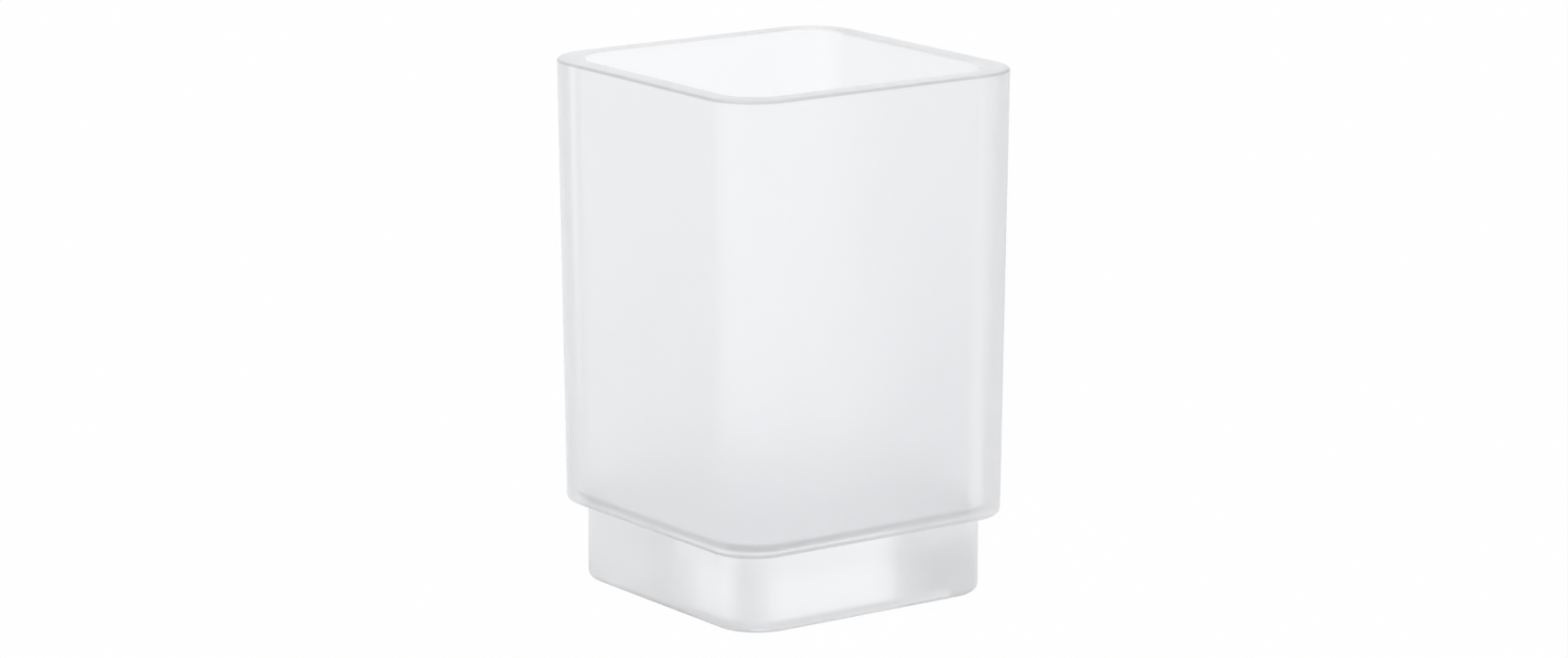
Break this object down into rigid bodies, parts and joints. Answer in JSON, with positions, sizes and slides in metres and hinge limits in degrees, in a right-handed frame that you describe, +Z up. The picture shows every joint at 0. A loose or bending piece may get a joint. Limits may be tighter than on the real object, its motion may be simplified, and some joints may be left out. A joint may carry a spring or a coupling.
{
  "type": "bathroom tumbler",
  "caption": "Square satin-glass tumbler with rounded corners, thick even walls and a stepped-in solid foot that drops into a square holder ring or stands by itself.",
  "frame": {"origin": "middle of the standing plane, under the foot", "axes": "+Z up through the open mouth; X and Y square to the flat sides"},
  "size_m": [0.0662, 0.0662, 0.1],
  "materials": {
    "satin_glass": "colourless pressed glass, etched to an even satin all over"
  },
  "bodies": {
    "root": {"glass_tumbler": "satin_glass"}
  },
  "joints": []
}
